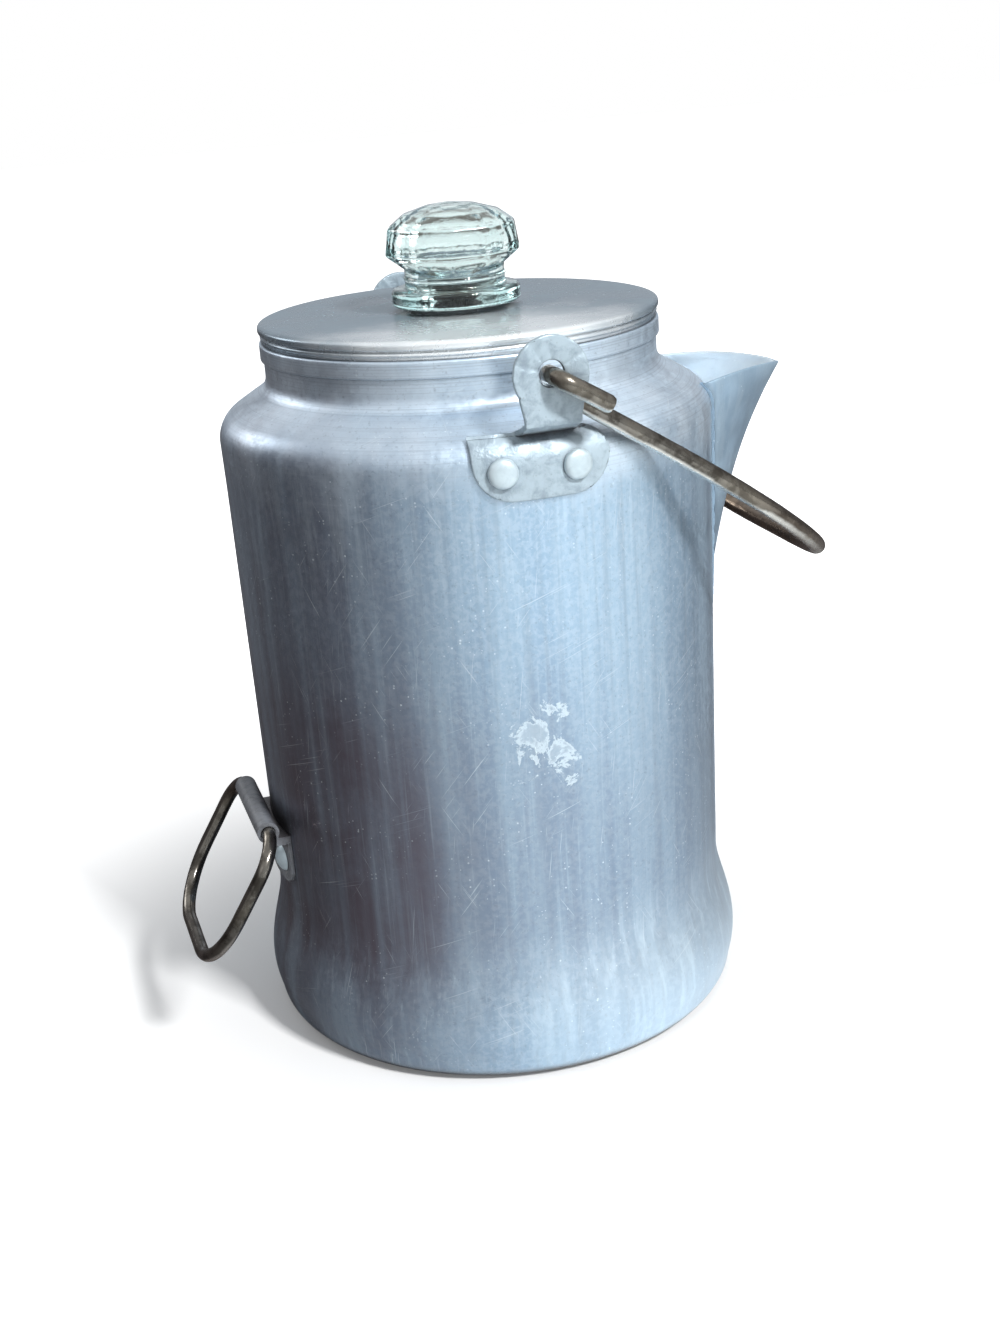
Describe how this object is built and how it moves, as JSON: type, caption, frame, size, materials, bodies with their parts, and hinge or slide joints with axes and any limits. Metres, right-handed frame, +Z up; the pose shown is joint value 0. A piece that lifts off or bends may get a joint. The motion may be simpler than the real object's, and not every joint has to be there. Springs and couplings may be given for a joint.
{
  "type": "percolator coffee pot",
  "caption": "Stovetop percolator pot: tapered metal body, open beak spout, wire bail, rear tilting loop, plug lid with faceted glass knob, pump and perforated basket.",
  "frame": {"origin": "centre of the flat base, on the surface the pot stands on", "axes": "+Z up along the body's axis, +X towards the spout, +Y towards the left ear"},
  "size_m": [0.2469, 0.2058, 0.2984],
  "materials": {
    "body_metal": "worn satin aluminium with vertical streaks, water stains and fine scratches",
    "lid_metal": "dull satin aluminium with fine turning lines",
    "ear_metal": "matte pressed aluminium sheet",
    "rivet_metal": "domed aluminium rivet heads, slightly burnished",
    "wire_metal": "plated steel wire, worn and tarnished brown-grey",
    "knob_glass": "clear pressed glass with a pale aqua tint",
    "inner_metal": "plain drawn aluminium, slightly stained"
  },
  "bodies": {
    "pot": {"body_shell": "body_metal", "spout": "body_metal", "left_ear": "ear_metal", "right_ear": "ear_metal", "left_ear_rivets": "rivet_metal", "right_ear_rivets": "rivet_metal", "tilt_bracket": "ear_metal", "tilt_bracket_rivets": "rivet_metal"},
    "bail": {"bail_handle": "wire_metal"},
    "tilt_loop": {"tilt_handle": "wire_metal"},
    "lid": {"lid": "lid_metal"},
    "knob": {"glass_knob": "knob_glass"},
    "pump": {"pump_tube": "inner_metal", "pump_foot": "inner_metal", "basket_stop": "inner_metal"},
    "basket": {"basket": "inner_metal", "basket_sleeve": "inner_metal"},
    "spreader": {"spreader": "inner_metal", "spreader_sleeve": "inner_metal"}
  },
  "joints": [
    {"name": "bail_swing", "type": "hinge", "parent": "pot", "child": "bail", "pos_m": [0.0026, 0, 0.252], "axis": [0, -1, 0], "range_deg": [0, 247]},
    {"name": "tilt_handle_swing", "type": "hinge", "parent": "pot", "child": "tilt_loop", "pos_m": [-0.09206, 0, 0.0856], "axis": [0, 1, 0], "range_deg": [-30, 140]},
    {"name": "lid_lift", "type": "slide", "parent": "pot", "child": "lid", "axis": [0, 0, 1], "range_m": [0, 0.06]},
    {"name": "knob_turn", "type": "hinge", "parent": "lid", "child": "knob", "pos_m": [0, 0, 0.26], "axis": [0, 0, 1], "range_deg": [0, 90]},
    {"name": "pump_lift", "type": "slide", "parent": "pot", "child": "pump", "axis": [0, 0, 1], "range_m": [0, 0.008]},
    {"name": "basket_lift", "type": "slide", "parent": "pump", "child": "basket", "axis": [0, 0, 1], "range_m": [0, 0.006]},
    {"name": "spreader_lift", "type": "slide", "parent": "basket", "child": "spreader", "axis": [0, 0, 1], "range_m": [0, 0.005]}
  ]
}
